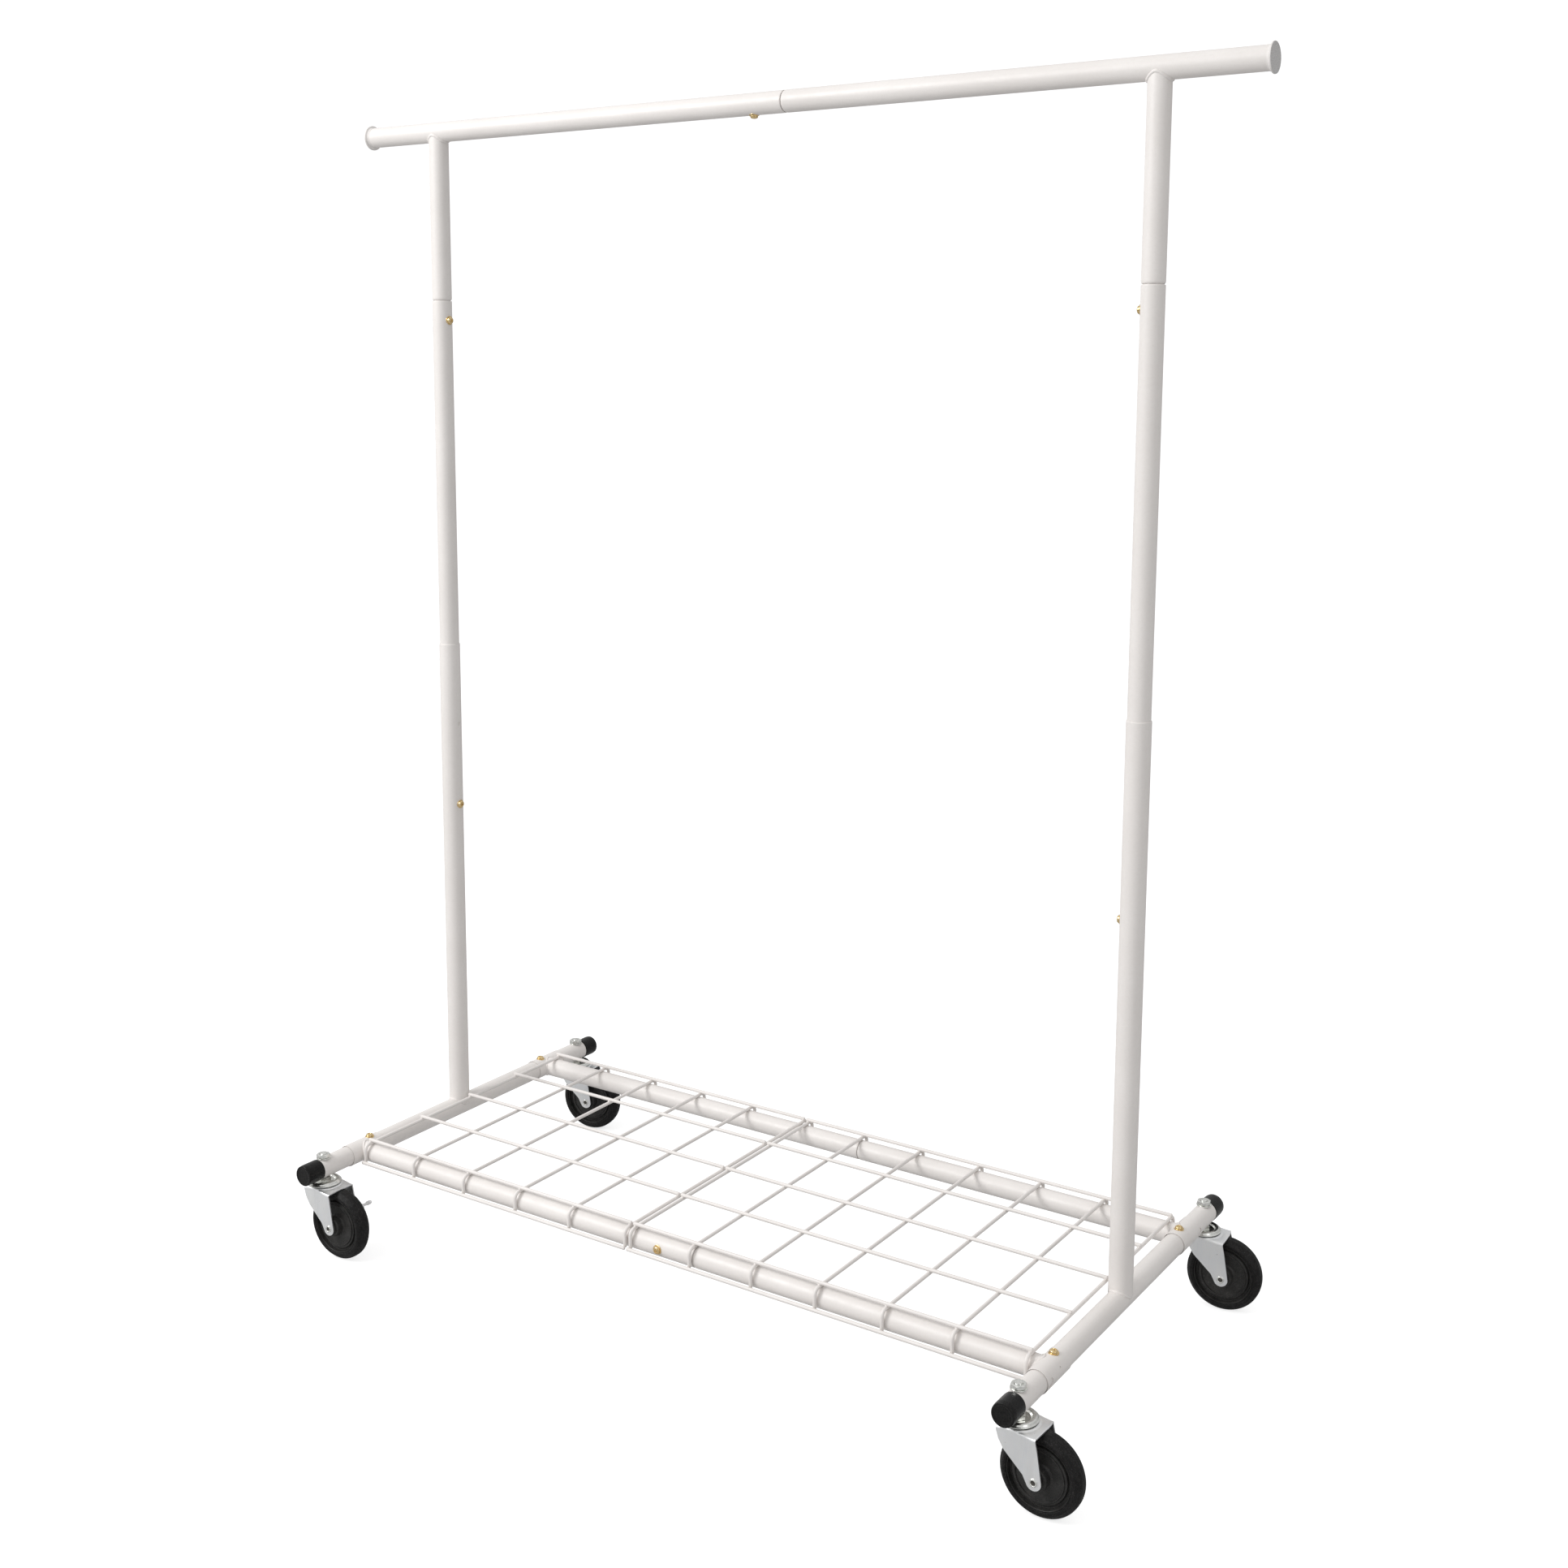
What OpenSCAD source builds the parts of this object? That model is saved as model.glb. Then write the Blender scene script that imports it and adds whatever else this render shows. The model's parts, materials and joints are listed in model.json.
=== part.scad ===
// Garment rail on swivel casters, with a wire shelf and height-adjustable posts.
// Millimetres, +Z up. The origin is on the floor, midway between the two posts.
// +X runs along the hanging rail and -Y is the front.

/* [Frame] */
// Distance between the post centres
post_span = 1106; // [1104:1:1110]
// Height of the hanging rail's axis above the floor at the lowest setting
rail_height = 1600; // [1560:1:1660]
// Length of the hanging rail over its end caps
rail_length = 1372; // [1340:2:1420]
// Length of a side tube over its rubber caps
side_length = 640; // [640:1:660]
// Distance from the middle of the rack to each long base rail
base_rail_y = 204; // [202:1:206]
// Outside diameter of rails, side tubes and upper posts
inner_od = 28.4; // [28:0.1:28.6]
// Outside diameter of the lower posts and the tee sleeves
outer_od = 30.6; // [30.6:0.1:31]
// Wall thickness of the inner tube size
inner_wall = 1; // [0.9:0.05:1.2]
// Distance from the middle to the joint of the hanging rail's halves
top_splice = 48; // [36:1:60]
// Distance from the middle to the joint of each base rail's halves
base_splice = 55; // [36:1:60]

/* [Height adjustment] */
// Height of the lower posts' mouths above the side tubes
lower_seam = 727; // [700:1:760]
// Height of the upper posts' joints above the side tubes
upper_seam = 1233; // [1200:1:1260]
// Height of the locking screws above the side tubes
lock_screw = 482; // [460:1:500]
// Travel of the hanging frame between its two screw positions
travel = 124; // [100:1:140]

/* [Shelf] */
// Wire diameter
wire_d = 5; // [4:0.5:5]
// Distance between cross wires
cell_x = 95.8; // [94:0.2:95.8]
// Distance between lengthwise wires
cell_y = 105; // [103:0.5:106]
// Position of the gap between the two shelf panels along the rail
panel_gap_x = -46.5; // [-48:0.5:-46.5]

/* [Casters] */
// Wheel diameter
wheel_d = 101.6; // [98:0.1:102]
// Wheel width
wheel_w = 24; // [22:0.5:26]
// Distance from the side tube's axis down to the axle
axle_drop = 76.5; // [76.5:0.1:80]
// Distance from the swivel axis to the axle
trail = 31.8; // [30:0.1:33]
// Distance from the middle of the rack to each swivel axis
swivel_y = 281; // [280:0.5:281]
// Swivel angle of the rear left caster at rest
swivel_rear_left = 9.7; // [0:0.1:15]
// Swivel angle of the rear right caster at rest
swivel_rear_right = 6.7; // [0:0.1:15]

/* [Part to show] */
// Name of one part, or all

/* [Hidden] */
$fn = 48;
eps = 0.01;
cut = 0.02;
slide_fit = 0.08;
turn_fit = 0.06;

post_x = post_span / 2;
inner_r = inner_od / 2;
inner_bore = inner_r - inner_wall;
outer_r = outer_od / 2;
outer_bore = inner_r + slide_fit;
axle_z = wheel_d / 2;
tube_z = axle_z + axle_drop;

spigot_r = inner_bore - slide_fit;
spigot_wall = 1.8;
neck_r = inner_r - 1.8;
splice_depth = 30;
mouth_round = 1.2;
saddle_run = 5;

sleeve_y0 = 174;
sleeve_y1 = 236;
sleeve_screw_y = 191;
sleeve_hole_y = 228;
sleeve_mouth = 0.6;
sleeve_mouth_depth = 3;
sleeve_hole_r = 5.8;
vent_y = 202;
vent_r = 1;
vent_tilt = 63;

cap_len = 28.8;
cap_wall = 0.8;
cap_face = 3;
rail_cap_r = 17.5;
rail_cap_face = 5.5;
rail_cap_plug = 14;

lower_post_z0 = tube_z + 6;
lower_post_z1 = tube_z + lower_seam;
middle_post_z0 = tube_z + lock_screw - 32;
middle_post_z1 = tube_z + upper_seam;
upper_lock_z = middle_post_z1 - 28;
post_spigot = 52;
post_cope = 4;

shank_r = 2.5;
hole_r = 2.8;
shank_len = 9;
lock_shank = 0.8;
washer_r = 6.5;
washer_t = 1;
head_r = 5;
head_h = 3.2;
slot_w = 1.1;
slot_l = 4.8;

bead = 2.8;
sleeve_bead = 1.8;
bead_reach = 60;

wire_r = wire_d / 2;
shelf_gap = 0.05;
weld_sink = 0.2;
wire_z = tube_z + inner_r + wire_r + shelf_gap;
long_wire_z = wire_z + wire_d - weld_sink;
leg_y = base_rail_y + inner_r + wire_r + 0.5;
hook_r = 8;
lower_wire_y = leg_y + wire_d - 0.5;
lower_wire_z = tube_z - 8.5;
wire_overhang = 3.2;
panel_half_gap = 4.5;
left_cells = 5;
right_cells = 6;

stem_r = 5;
washer_hole_r = 5.25;
stem_washer_r = 10;
stem_washer_t = 1.4;
top_nut_h = 5;
nut_af = 17;
nut_chamfer = 1.2;
stem_top = tube_z + inner_r + stem_washer_t + top_nut_h + 0.5;

fork_half = 24;
fork_t = 2.5;
crown_t = 2.2;
crown_z1 = tube_z - 22;
crown_z0 = crown_z1 - crown_t;
crown_r = 25;
hood_x = 33;
leg_tip_r = 9.5;
race_z = crown_z1 + 0.3;
race_t = 1.2;
race_r = 24.5;
stem_foot_r = 9;
stem_foot_h = 1.6;
stem_foot_z = crown_z0 - 0.2 - stem_foot_h;

axle_r = 4;
axle_head_r = 5;
axle_head_h = 1.5;
axle_bore_r = 2.7;
axle_bore_depth = 6;
bush_r = 6;
bush_half = fork_half - fork_t - 0.1;
hub_r = 14;
hub_half = 19;
core_r = 39.8;
core_half = 10.8;
web_half = 8;
tyre_r = wheel_d / 2;
tyre_half = wheel_w / 2;
shoulder = 6.4;

lever_t = 2;
lever_gap = 0.15;
lever_angle = 51;
lever_reach = 26.5;
lever_eye_r = 9;
lever_w = 11;
lever_flange = 20;
lever_tab_w = 6.5;
lever_lip = 2.2;

// ---- colours ----
module paint() color([0.93, 0.91, 0.88]) children();
module zinc() color([0.78, 0.79, 0.80]) children();
module yellow_zinc() color([0.80, 0.64, 0.30]) children();
module black_rubber() color([0.09, 0.09, 0.09]) children();
module black_plastic() color([0.12, 0.12, 0.12]) children();
module white_plastic() color([0.92, 0.91, 0.89]) children();

// ---- shared shapes ----
module along_x() rotate([0, 90, 0]) children();
module along_y() rotate([-90, 0, 0]) children();

// A plain tube standing on z = 0
module tube(r, bore, h) difference() {
  cylinder(r = r, h = h);
  translate([0, 0, -1]) cylinder(r = bore, h = h + 2);
}

// A tube whose lower end is necked and then widens to a spigot that enters the next tube.
// The seam is at z = 0, the tube runs up to h and the spigot down to -depth.
module spigot_tube(r, bore, h, depth) rotate_extrude() polygon([
  [spigot_r - spigot_wall, -depth], [spigot_r - 0.6, -depth], [spigot_r, -depth + 1],
  [spigot_r, -1.2], [neck_r, -0.6], [neck_r, 1], [r - 0.8, 1.3], [r - 0.25, 2.4], [r, 4],
  [r, h], [bore, h], [bore, 7], [spigot_r - spigot_wall, 4]
]);

// A tube whose upper end is a mouth with a rounded outer edge
module mouth_tube(r, bore, h) rotate_extrude() polygon([
  [bore, 0], [r, 0], [r, h - mouth_round], [r - 0.15, h - 0.4], [r - 0.45, h], [bore, h]
]);

// A pan-head screw with its washer. It sits on z = 0 and points down.
module screw(shank) {
  difference() {
    rotate_extrude() polygon([
      [0, 0], [washer_r, 0], [washer_r, washer_t], [head_r, washer_t],
      [head_r, washer_t + 1.3], [head_r - 0.9, washer_t + 2.4],
      [head_r - 2.4, washer_t + head_h - 0.2], [0, washer_t + head_h]
    ]);
    for (a = [0, 90]) rotate([0, 0, a])
      translate([-slot_l / 2, -slot_w / 2, washer_t + 1.6]) cube([slot_l, slot_w, head_h]);
  }
  translate([0, 0, -shank]) cylinder(r = shank_r, h = shank + eps);
}

// The weld round a tube of radius rb that meets, from below, a tube of radius ra along X
module tee_bead(ra, rb, w) difference() {
  intersection() {
    translate([0, 0, -bead_reach]) cylinder(r = rb + w, h = bead_reach - 2);
    bead_bar(ra + w);
  }
  bead_bar(ra + cut);
  translate([0, 0, -bead_reach]) rotate([0, 0, 45]) cylinder(r = rb + cut, h = bead_reach);
}

// A bar along X whose surface starts and ends on top, away from the weld
module bead_bar(r) translate([-bead_reach, 0, 0]) along_x() rotate([0, 0, 180])
  cylinder(r = r, h = 2 * bead_reach);

// ---- base ----
module side_tube(s) paint() difference() {
  translate([s * post_x, -side_length / 2 + cap_face, tube_z]) along_y()
    tube(inner_r, inner_bore, side_length - 2 * cap_face);
  for (e = [-1, 1]) {
    translate([s * post_x, e * swivel_y, tube_z - 30]) cylinder(r = washer_hole_r, h = 60);
    translate([s * post_x, e * sleeve_screw_y, tube_z]) cylinder(r = hole_r, h = 30);
  }
}

module lower_post(s) paint() difference() {
  translate([s * post_x, 0, lower_post_z0])
    mouth_tube(outer_r, outer_bore, lower_post_z1 - lower_post_z0);
  translate([s * post_x, -bead_reach, tube_z]) along_y()
    cylinder(r = inner_r + cut, h = 2 * bead_reach);
  for (z = [lock_screw, lock_screw + travel]) inward_hole(s, tube_z + z);
}

// A screw hole in the side of a post that faces the middle of the rack
module inward_hole(s, z) translate([s * post_x, 0, z]) rotate([0, -90 * s, 0])
  cylinder(r = hole_r, h = outer_r + 5);

// The long base rails: sy is -1 at the front and 1 at the rear
module base_rail_right(sy) paint() difference() {
  translate([base_splice, sy * base_rail_y, tube_z]) along_x()
    spigot_tube(inner_r, inner_bore, post_x - base_splice - saddle_run,
      base_splice + splice_depth);
  sleeve_cut(1, sy);
  rail_screw_hole(sy);
}

module base_rail_left(sy) paint() difference() {
  translate([-post_x + saddle_run, sy * base_rail_y, tube_z]) along_x()
    mouth_tube(inner_r, inner_bore, post_x - saddle_run + base_splice);
  sleeve_cut(-1, sy);
  rail_screw_hole(sy);
}

module sleeve_cut(sx, sy)
  translate([sx * post_x, sy * base_rail_y - bead_reach, tube_z]) along_y()
    cylinder(r = outer_r + cut, h = 2 * bead_reach);

module rail_screw_hole(sy)
  translate([0, sy * base_rail_y, tube_z]) rotate([-sy * 90, 0, 0])
    cylinder(r = hole_r, h = inner_r + 5);

// A sleeve from -h to h whose bore opens a little at both mouths
module sleeve_body(h) rotate_extrude() polygon([
  [outer_bore + sleeve_mouth, -h], [outer_r, -h], [outer_r, h], [outer_bore + sleeve_mouth, h],
  [outer_bore + sleeve_mouth, h - 1], [outer_bore, h - sleeve_mouth_depth],
  [outer_bore, sleeve_mouth_depth - h], [outer_bore + sleeve_mouth, 1 - h]
]);

module tee_sleeve(sx, sy) paint() difference() {
  translate([sx * post_x, sy * (sleeve_y0 + sleeve_y1) / 2, tube_z]) along_y()
    sleeve_body((sleeve_y1 - sleeve_y0) / 2);
  translate([sx * post_x, sy * sleeve_screw_y, tube_z]) cylinder(r = hole_r, h = 30);
  translate([sx * post_x, sy * sleeve_hole_y, tube_z]) rotate([0, sx * 90, 0])
    cylinder(r = sleeve_hole_r, h = 30);
  if (sx > 0 && sy < 0)
    translate([sx * post_x, sy * vent_y, tube_z]) rotate([0, vent_tilt, 0])
      cylinder(r = vent_r, h = 30);
}

// ---- wire shelf ----
// One wire crosses both long rails and hooks down over their outer faces
module cross_wire(x) translate([x, 0, 0]) {
  translate([0, -(leg_y - hook_r), wire_z]) along_y()
    cylinder(r = wire_r, h = 2 * (leg_y - hook_r));
  for (e = [-1, 1]) {
    translate([0, e * (leg_y - hook_r), wire_z - hook_r]) rotate([90, 0, 90])
      rotate([0, 0, e > 0 ? 0 : 90]) rotate_extrude(angle = 90)
      translate([hook_r, 0]) circle(r = wire_r);
    translate([0, e * leg_y, lower_wire_z - 0.5])
      cylinder(r = wire_r, h = wire_z - hook_r - lower_wire_z + 0.5);
  }
}

module long_wire(x0, x1, y, z) translate([x0, y, z]) along_x()
  cylinder(r = wire_r, h = x1 - x0);

module shelf_panel(xs, x0, x1) paint() {
  for (x = xs) cross_wire(x);
  for (i = [-2 : 2]) long_wire(x0, x1, i * cell_y, long_wire_z);
  for (e = [-1, 1]) long_wire(x0, x1, e * lower_wire_y, lower_wire_z);
}

module wire_shelf_left() {
  first = panel_gap_x - panel_half_gap;
  shelf_panel([for (i = [0 : left_cells]) first - i * cell_x],
    first - left_cells * cell_x - wire_overhang, first + wire_overhang);
}

module wire_shelf_right() {
  first = panel_gap_x + panel_half_gap;
  shelf_panel([for (i = [0 : right_cells]) first + i * cell_x],
    first - wire_overhang, first + right_cells * cell_x + wire_overhang);
}

// ---- caps, welds and screws of the base ----
module side_tube_caps() black_rubber()
  for (s = [-1, 1], e = [-1, 1]) translate([s * post_x, e * side_length / 2, tube_z])
    rotate([e * 90, 0, 0]) rotate_extrude() polygon([
      [0, 0], [inner_r - 1.6, 0], [inner_r, 0.5], [inner_r + cap_wall, 2],
      [inner_r + cap_wall, cap_len - 0.6], [inner_r + cap_wall - 0.4, cap_len],
      [inner_r + cut, cap_len], [inner_r + cut, cap_face - eps], [0, cap_face - eps]
    ]);

module post_foot_welds() paint()
  for (s = [-1, 1]) translate([s * post_x, 0, tube_z]) rotate([180, 0, 90])
    tee_bead(inner_r, outer_r, bead);

module sleeve_welds() paint()
  for (sx = [-1, 1], sy = [-1, 1])
    translate([sx * post_x, sy * base_rail_y, tube_z])
    rotate([0, sx * 90, 0]) rotate([0, 0, 90]) tee_bead(outer_r, inner_r, sleeve_bead);

module base_screws() yellow_zinc() {
  for (sx = [-1, 1], sy = [-1, 1])
    translate([sx * post_x, sy * sleeve_screw_y, tube_z + outer_r]) screw(shank_len);
  for (sy = [-1, 1]) translate([0, sy * (base_rail_y + inner_r), tube_z])
    rotate([-sy * 90, 0, 0]) screw(shank_len);
}

// These end inside the lower posts' walls, so that the hanging frame can slide
module locking_screws() yellow_zinc()
  for (s = [-1, 1]) translate([s * (post_x - outer_r), 0, tube_z + lock_screw])
    rotate([0, -90 * s, 0]) screw(lock_shank);

// ---- caster fixings that stay with the base ----
module at_swivels() for (s = [-1, 1], e = [-1, 1])
  translate([s * post_x, e * swivel_y, 0]) children();

module hex_nut(af, h, bore) difference() {
  intersection() {
    cylinder(d = af / cos(30), h = h, $fn = 6);
    rotate_extrude() polygon([
      [0, 0], [af / 2, 0], [af / 2 + 1.6, nut_chamfer],
      [af / 2 + 1.6, h - nut_chamfer], [af / 2, h], [0, h]
    ]);
  }
  translate([0, 0, -1]) cylinder(r = bore, h = h + 2);
}

module stem_washers() zinc() at_swivels()
  translate([0, 0, tube_z + inner_r]) tube(stem_washer_r, washer_hole_r, stem_washer_t);

module stem_top_nuts() zinc() at_swivels()
  translate([0, 0, tube_z + inner_r + stem_washer_t]) rotate([0, 0, 12])
  hex_nut(nut_af, top_nut_h, stem_r + cut);

module stem_jam_nuts() zinc() at_swivels()
  translate([0, 0, race_z + race_t]) rotate([0, 0, 20])
  hex_nut(nut_af, tube_z - inner_r - race_z - race_t - eps, stem_r + cut);

module caster_stems() zinc() at_swivels() {
  translate([0, 0, stem_foot_z]) cylinder(r = stem_foot_r, h = stem_foot_h);
  translate([0, 0, stem_foot_z]) cylinder(r = stem_r, h = stem_top - stem_foot_z - 0.8);
  translate([0, 0, stem_top - 0.8]) cylinder(r1 = stem_r, r2 = stem_r - 0.8, h = 0.8);
}

module upper_races() zinc() at_swivels() translate([0, 0, race_z]) rotate_extrude() polygon([
  [stem_r + cut, 0], [13.6, 0], [15.8, 0.4], [16.8, 3], [18, 3.8], [20, 3.8], [21, 3.1],
  [22.6, 1.4], [race_r, 0.9], [race_r, 1.9], [23.2, 2.5], [22, 4.2], [20.6, 5], [17.6, 5],
  [16.4, 4.2], [15, 1.7], [13, race_t], [stem_r + cut, race_t]
]);

// ---- hanging frame ----
module top_rail_right() paint() difference() {
  translate([top_splice, 0, rail_height]) along_x()
    spigot_tube(inner_r, inner_bore, rail_length / 2 - rail_cap_face - top_splice,
      top_splice + splice_depth);
  top_screw_hole();
}

module top_rail_left() paint() difference() {
  translate([-rail_length / 2 + rail_cap_face, 0, rail_height]) along_x()
    mouth_tube(inner_r, inner_bore, rail_length / 2 - rail_cap_face + top_splice);
  top_screw_hole();
}

module top_screw_hole() translate([0, 0, rail_height - inner_r - 5])
  cylinder(r = hole_r, h = inner_r + 5);

module upper_post(s) paint() difference() {
  translate([s * post_x, 0, middle_post_z1])
    spigot_tube(inner_r, inner_bore, rail_height - post_cope - middle_post_z1, post_spigot);
  translate([s * post_x - bead_reach, 0, rail_height]) along_x()
    cylinder(r = inner_r + cut, h = 2 * bead_reach);
  inward_hole(s, upper_lock_z);
}

module middle_post(s) paint() difference() {
  translate([s * post_x, 0, middle_post_z0])
    mouth_tube(inner_r, inner_bore, middle_post_z1 - middle_post_z0);
  inward_hole(s, upper_lock_z);
  inward_hole(s, tube_z + lock_screw);
}

module rail_end_caps() white_plastic()
  for (s = [-1, 1]) translate([s * rail_length / 2, 0, rail_height]) rotate([0, -90 * s, 0])
    rotate_extrude() polygon([
      [0, 0], [rail_cap_r - 1.4, 0], [rail_cap_r - 0.4, 0.5], [rail_cap_r, 1.6],
      [rail_cap_r - 0.3, 3.4], [rail_cap_r - 1.8, rail_cap_face - eps],
      [inner_bore - slide_fit, rail_cap_face - eps],
      [inner_bore - slide_fit, rail_cap_plug + rail_cap_face],
      [inner_bore - 2.6, rail_cap_plug + rail_cap_face],
      [inner_bore - 2.6, rail_cap_face - 1], [0, rail_cap_face - 1]
    ]);

module rail_tee_welds() paint()
  for (s = [-1, 1]) translate([s * post_x, 0, rail_height]) tee_bead(inner_r, inner_r, bead);

module frame_screws() yellow_zinc() {
  for (s = [-1, 1]) translate([s * (post_x - inner_r), 0, upper_lock_z])
    rotate([0, -90 * s, 0]) screw(shank_len);
  translate([0, 0, rail_height - inner_r]) rotate([180, 0, 0]) screw(shank_len);
}

// ---- casters ----
// In a caster's own frame the swivel axis is z and the wheel trails towards +x
module at_caster(sx, sy, a) translate([sx * post_x, sy * swivel_y, 0]) rotate([0, 0, a])
  children();

module at_front_left() at_caster(-1, -1, 0) children();
module at_front_right() at_caster(1, -1, 0) children();
module at_rear_left() at_caster(-1, 1, swivel_rear_left) children();
module at_rear_right() at_caster(1, 1, swivel_rear_right) children();
module at_axle() translate([trail, 0, axle_z]) along_y() children();

// Outline of a fork leg: x is along the trail and y is height
module leg_outline() difference() {
  union() {
    polygon([
      [-15, crown_z1 - 0.6], [-15, tube_z - 28], [-12, tube_z - 38], [-6, tube_z - 48],
      [18.5, tube_z - 71], [trail - 6.9, axle_z - 6.5], [trail, axle_z],
      [trail + leg_tip_r, axle_z], [hood_x, crown_z0], [hood_x, crown_z1 - 0.6]
    ]);
    translate([trail, axle_z]) circle(r = leg_tip_r);
  }
  translate([trail, axle_z]) circle(r = axle_r + 0.05);
}

module fork() zinc() {
  for (y = [fork_half, fork_t - fork_half]) translate([0, y, 0])
    rotate([90, 0, 0]) linear_extrude(fork_t) leg_outline();
  translate([0, 0, crown_z0]) linear_extrude(crown_t) difference() {
    intersection() {
      union() {
        circle(r = crown_r);
        translate([0, -fork_half]) square([hood_x, 2 * fork_half]);
      }
      translate([-crown_r - 1, -fork_half]) square([crown_r + hood_x + 1, 2 * fork_half]);
    }
    circle(r = stem_r + turn_fit);
  }
}

// A hollow rivet; extra is the room it leaves for a lever on its +y end
module axle(extra) zinc() at_axle() difference() {
  union() {
    translate([0, 0, -fork_half - eps]) cylinder(r = axle_r, h = 2 * fork_half + extra + 2 * eps);
    translate([0, 0, fork_half + extra + eps]) axle_head();
    mirror([0, 0, 1]) translate([0, 0, fork_half + eps]) axle_head();
  }
  translate([0, 0, fork_half + extra + axle_head_h - axle_bore_depth])
    cylinder(r = axle_bore_r, h = axle_bore_depth + 1);
  mirror([0, 0, 1]) translate([0, 0, fork_half + axle_head_h - axle_bore_depth])
    cylinder(r = axle_bore_r, h = axle_bore_depth + 1);
}

module axle_head() cylinder(r1 = axle_head_r, r2 = axle_head_r - 0.9, h = axle_head_h);

module bush() zinc() at_axle() translate([0, 0, -bush_half])
  tube(bush_r, axle_r + 0.04, 2 * bush_half);

// Half of the core's section, from the bore outwards, on the side given by m
function core_side(m) = [
  [bush_r + turn_fit, m * hub_half], [hub_r - 1, m * hub_half], [hub_r, m * (hub_half - 1)],
  [hub_r + 0.8, m * (web_half + 1)], [17, m * web_half], [27, m * web_half],
  [27.6, m * (web_half + 1)], [29.4, m * (web_half + 1)], [30, m * web_half],
  [35.6, m * web_half], [37.4, m * core_half], [core_r - 0.8, m * core_half],
  [core_r, m * (core_half - 0.8)]
];
function flip(list) = [for (i = [len(list) - 1 : -1 : 0]) list[i]];

module core() black_plastic() at_axle()
  rotate_extrude() polygon(concat(core_side(-1), flip(core_side(1))));

function tyre_side(m) = concat(
  [[core_r + cut, m * (core_half - 0.8)], [core_r + 1, m * tyre_half]],
  [for (a = [0 : 15 : 90])
    [tyre_r - shoulder + shoulder * sin(a), m * (tyre_half - shoulder + shoulder * cos(a))]]
);

module tyre() black_rubber() at_axle()
  rotate_extrude() polygon(concat(tyre_side(-1), flip(tyre_side(1))));

// A plate that turns on the axle outside the leg, with its end bent outwards
module brake_lever() zinc() translate([trail, fork_half + lever_gap, axle_z])
  rotate([0, -lever_angle, 0]) {
    along_y() linear_extrude(lever_t) difference() {
      union() {
        circle(r = lever_eye_r);
        translate([0, -lever_w / 2]) square([lever_reach, lever_w]);
      }
      circle(r = axle_r + turn_fit);
    }
    translate([lever_reach - lever_t, 0, -lever_tab_w / 2])
      cube([lever_t, lever_flange, lever_tab_w]);
    translate([lever_reach - lever_t - lever_lip, lever_flange - lever_t, -lever_tab_w / 2])
      cube([lever_t + lever_lip, lever_t, lever_tab_w]);
  }

side_tube(-1);  // side_tube_left
side_tube(1);  // side_tube_right
lower_post(-1);  // lower_post_left
lower_post(1);  // lower_post_right
base_rail_left(-1);  // front_rail_left
base_rail_right(-1);  // front_rail_right
base_rail_left(1);  // rear_rail_left
base_rail_right(1);  // rear_rail_right
tee_sleeve(-1, -1);  // sleeve_front_left
tee_sleeve(1, -1);  // sleeve_front_right
tee_sleeve(-1, 1);  // sleeve_rear_left
tee_sleeve(1, 1);  // sleeve_rear_right
wire_shelf_left();
wire_shelf_right();
side_tube_caps();
post_foot_welds();
sleeve_welds();
base_screws();
locking_screws();
stem_washers();
stem_top_nuts();
stem_jam_nuts();
caster_stems();
upper_races();
top_rail_left();
top_rail_right();
upper_post(-1);  // upper_post_left
upper_post(1);  // upper_post_right
middle_post(-1);  // middle_post_left
middle_post(1);  // middle_post_right
rail_end_caps();
rail_tee_welds();
frame_screws();
at_front_left() fork();  // fork_fl
at_front_right() fork();  // fork_fr
at_rear_left() fork();  // fork_rl
at_rear_right() fork();  // fork_rr
at_front_left() axle(lever_t + 2 * lever_gap);  // axle_fl
at_front_right() axle(0);  // axle_fr
at_rear_left() axle(0);  // axle_rl
at_rear_right() axle(0);  // axle_rr
at_front_left() bush();  // bush_fl
at_front_right() bush();  // bush_fr
at_rear_left() bush();  // bush_rl
at_rear_right() bush();  // bush_rr
at_front_left() core();  // core_fl
at_front_right() core();  // core_fr
at_rear_left() core();  // core_rl
at_rear_right() core();  // core_rr
at_front_left() tyre();  // tyre_fl
at_front_right() tyre();  // tyre_fr
at_rear_left() tyre();  // tyre_rl
at_rear_right() tyre();  // tyre_rr
at_front_left() brake_lever();  // brake_lever_fl
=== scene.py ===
"""Garment rail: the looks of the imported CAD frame. Metres, +Z up, +X along the rail, -Y front."""

import json
import math
import random

import bmesh
import bpy
from mathutils import Matrix, Vector


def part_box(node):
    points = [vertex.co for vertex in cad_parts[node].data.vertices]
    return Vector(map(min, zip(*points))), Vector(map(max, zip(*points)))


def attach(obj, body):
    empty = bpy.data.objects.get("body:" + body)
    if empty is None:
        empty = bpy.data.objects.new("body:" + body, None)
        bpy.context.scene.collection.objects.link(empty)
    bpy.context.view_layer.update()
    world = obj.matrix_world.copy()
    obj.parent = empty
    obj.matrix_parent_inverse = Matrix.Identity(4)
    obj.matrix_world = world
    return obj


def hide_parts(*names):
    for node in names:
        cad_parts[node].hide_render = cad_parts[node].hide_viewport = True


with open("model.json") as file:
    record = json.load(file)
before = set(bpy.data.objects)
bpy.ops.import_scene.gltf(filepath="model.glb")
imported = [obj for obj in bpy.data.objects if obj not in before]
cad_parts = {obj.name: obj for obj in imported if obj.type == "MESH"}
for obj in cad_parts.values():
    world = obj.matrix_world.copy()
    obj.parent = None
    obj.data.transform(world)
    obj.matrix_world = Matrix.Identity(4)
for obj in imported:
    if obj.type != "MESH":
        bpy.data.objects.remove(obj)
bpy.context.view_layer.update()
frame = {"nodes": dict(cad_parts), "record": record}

joints = {j["name"]: j for j in frame["record"]["behaviour"]["joints"]}
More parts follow.
